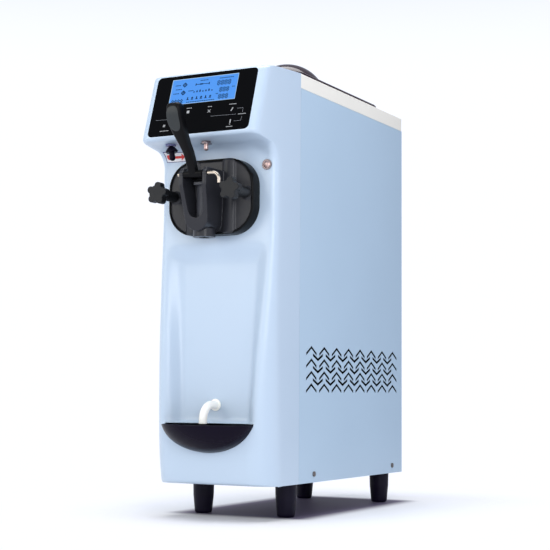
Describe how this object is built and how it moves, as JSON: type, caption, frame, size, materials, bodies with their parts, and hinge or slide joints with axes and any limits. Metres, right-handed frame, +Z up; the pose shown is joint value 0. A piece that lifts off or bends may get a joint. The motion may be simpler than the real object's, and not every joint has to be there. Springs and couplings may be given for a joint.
{
  "type": "soft serve machine",
  "caption": "Table-top soft serve machine with a draw handle and valve, hopper under a domed lid, drip tray, leaning control panel, vented sides and rubber feet.",
  "frame": {"origin": "on the table, under the middle of the whole machine's box", "axes": "+Z up, +X to the right of a person facing the machine, -Y towards that person"},
  "size_m": [0.216, 0.6455, 0.775],
  "materials": {
    "shell_blue": "moulded, glossy pale blue",
    "panel_blue": "satin powder coat, pale blue",
    "deck_white": "glossy white",
    "galvanised": "galvanised sheet",
    "stainless": "brushed stainless",
    "bright_steel": "polished",
    "door_black": "satin black moulding",
    "knob_black": "fine moulded grain",
    "foot_black": "satin rubber",
    "tray_black": "glossy black",
    "panel_glass": "back-printed black glass",
    "lcd_blue": "lit blue display",
    "smoked": "smoked translucent",
    "pipe_white": "glossy white",
    "food_white": "food-grade plastic",
    "seal_red": "silicone",
    "rubber_black": "rubber",
    "copper": "drawn copper",
    "foam": "polyurethane foam",
    "board_green": "circuit board",
    "cast_grey": "painted casting",
    "compressor_black": "gloss black",
    "aluminium": "mill finish",
    "fan_plastic": "moulded",
    "label_white": "printed label"
  },
  "bodies": {
    "chassis": {"base_tray": "galvanised", "frame_posts": "galvanised", "mid_shelf": "galvanised", "side_panel_left": "panel_blue", "side_panel_right": "panel_blue", "back_panel": "panel_blue", "front_fascia": "shell_blue", "top_deck": "deck_white", "hopper": "stainless", "feed_tube": "food_white", "feet": "foot_black", "foot_bolts": "bright_steel", "panel_screws": "bright_steel", "control_glass": "panel_glass", "lcd_screen": "lcd_blue", "control_board": "board_green", "button_ring": "bright_steel", "plunger_switch_body": "bright_steel", "toggle_bush": "bright_steel", "label_plate": "label_white", "freezer_door": "door_black", "door_gasket": "seal_red", "door_studs": "bright_steel", "nozzle_cap": "door_black", "pivot_pin": "bright_steel", "drain_elbow": "pipe_white", "freezing_cylinder": "stainless", "evaporator_coil": "copper", "insulation": "foam", "barrel_stand": "galvanised", "shaft_seal": "rubber_black", "gearbox": "cast_grey", "drive_motor": "cast_grey", "drive_belt": "rubber_black", "compressor": "compressor_black", "compressor_grommets": "rubber_black", "condenser": "aluminium", "fan_shroud": "compressor_black", "fan_motor": "cast_grey", "filter_drier": "copper", "refrigerant_pipes": "copper", "power_inlet": "rubber_black"},
    "lid": {"hopper_lid": "smoked"},
    "button": {"push_button": "bright_steel"},
    "switch_pin": {"plunger_switch_pin": "bright_steel"},
    "toggle": {"toggle_lever": "knob_black"},
    "washer_left": {"knob_washer_left": "bright_steel"},
    "washer_right": {"knob_washer_right": "bright_steel"},
    "knob_left": {"star_knob_left": "knob_black"},
    "knob_right": {"star_knob_right": "knob_black"},
    "valve": {"valve_plunger": "door_black", "plunger_orings": "seal_red"},
    "handle": {"draw_handle": "door_black"},
    "tray": {"drip_tray": "tray_black"},
    "beater_unit": {"beater": "food_white", "scraper_blades": "food_white", "beater_shaft": "stainless"},
    "gear_input": {"gearbox_pulley": "aluminium"},
    "motor_rotor": {"motor_pulley": "aluminium"},
    "fan_rotor": {"fan": "fan_plastic"}
  },
  "joints": [
    {"name": "lid_lift", "type": "slide", "parent": "chassis", "child": "lid", "axis": [0, 0, 1], "range_m": [0, 0.12]},
    {"name": "button_press", "type": "slide", "parent": "chassis", "child": "button", "axis": [0, 1, 0], "range_m": [0, 0.002], "stiffness_N_per_m": 300, "springref_m": -0.003},
    {"name": "switch_press", "type": "slide", "parent": "chassis", "child": "switch_pin", "axis": [0, 0, 1], "range_m": [0, 0.003], "stiffness_N_per_m": 300, "springref_m": -0.003},
    {"name": "toggle_flip", "type": "hinge", "parent": "chassis", "child": "toggle", "pos_m": [-0.066, -0.21995, 0.596], "axis": [0, 1, 0], "range_deg": [0, 20]},
    {"name": "handle_pull", "type": "hinge", "parent": "chassis", "child": "handle", "pos_m": [0, -0.25545, 0.5367], "axis": [1, 0, 0], "range_deg": [0, 45]},
    {"name": "valve_rise", "type": "slide", "parent": "chassis", "child": "valve", "axis": [0, 0, 1], "range_m": [0, 0.012]},
    {"name": "knob_travel_left", "type": "slide", "parent": "chassis", "child": "washer_left", "axis": [0, -1, 0], "range_m": [0, 0.009]},
    {"name": "knob_turn_left", "type": "hinge", "parent": "washer_left", "child": "knob_left", "pos_m": [-0.0655, -0.09895, 0.51], "axis": [0, 1, 0], "range_deg": [0, 2160]},
    {"name": "knob_travel_right", "type": "slide", "parent": "chassis", "child": "washer_right", "axis": [0, -1, 0], "range_m": [0, 0.009]},
    {"name": "knob_turn_right", "type": "hinge", "parent": "washer_right", "child": "knob_right", "pos_m": [0.0655, -0.09895, 0.51], "axis": [0, 1, 0], "range_deg": [0, 2160]},
    {"name": "tray_pull", "type": "slide", "parent": "chassis", "child": "tray", "axis": [0, -1, 0], "range_m": [0, 0.07]},
    {"name": "motor_spin", "type": "hinge", "parent": "chassis", "child": "motor_rotor", "pos_m": [0, 0.20105, 0.385], "axis": [0, 1, 0], "continuous": true},
    {"name": "gear_input_spin", "type": "hinge", "parent": "chassis", "child": "gear_input", "pos_m": [0, 0.20105, 0.507], "axis": [0, 1, 0], "continuous": true},
    {"name": "beater_spin", "type": "hinge", "parent": "chassis", "child": "beater_unit", "pos_m": [0, 0.00105, 0.507], "axis": [0, 1, 0], "continuous": true},
    {"name": "fan_spin", "type": "hinge", "parent": "chassis", "child": "fan_rotor", "pos_m": [0, -0.00895, 0.175], "axis": [0, 1, 0], "continuous": true}
  ],
  "couplings": [
    {"joint": "valve_rise", "follows": "handle_pull", "m_per_rad": 0.015279},
    {"joint": "knob_travel_left", "follows": "knob_turn_left", "m_per_rad": 0.00023873},
    {"joint": "knob_travel_right", "follows": "knob_turn_right", "m_per_rad": 0.00023873},
    {"joint": "gear_input_spin", "follows": "motor_spin", "ratio": 0.47619},
    {"joint": "beater_spin", "follows": "motor_spin", "ratio": 0.079365}
  ]
}
